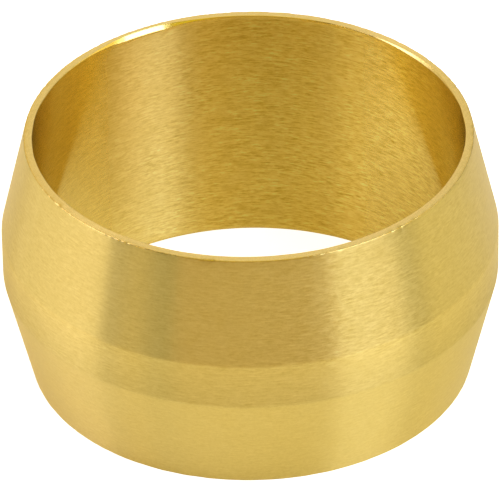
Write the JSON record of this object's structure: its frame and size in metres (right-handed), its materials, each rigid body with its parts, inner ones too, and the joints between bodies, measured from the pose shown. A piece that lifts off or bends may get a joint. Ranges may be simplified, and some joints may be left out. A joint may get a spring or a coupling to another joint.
{
  "type": "compression olive",
  "caption": "Turned brass ring with a plain bore, a narrow band round the middle and a taper to each thin end; a compression nut squeezes it onto a pipe to seal the joint.",
  "frame": {"origin": "on the ring's axis, in the plane of the lower end face that it stands on", "axes": "+Z along the bore's axis, up from the lower end; X and Y across the ring, which is round, so their turn about Z is free"},
  "size_m": [0.0175, 0.0174, 0.0093],
  "materials": {
    "turned_brass": "satin"
  },
  "bodies": {
    "root": {"olive_ring": "turned_brass"}
  },
  "joints": []
}
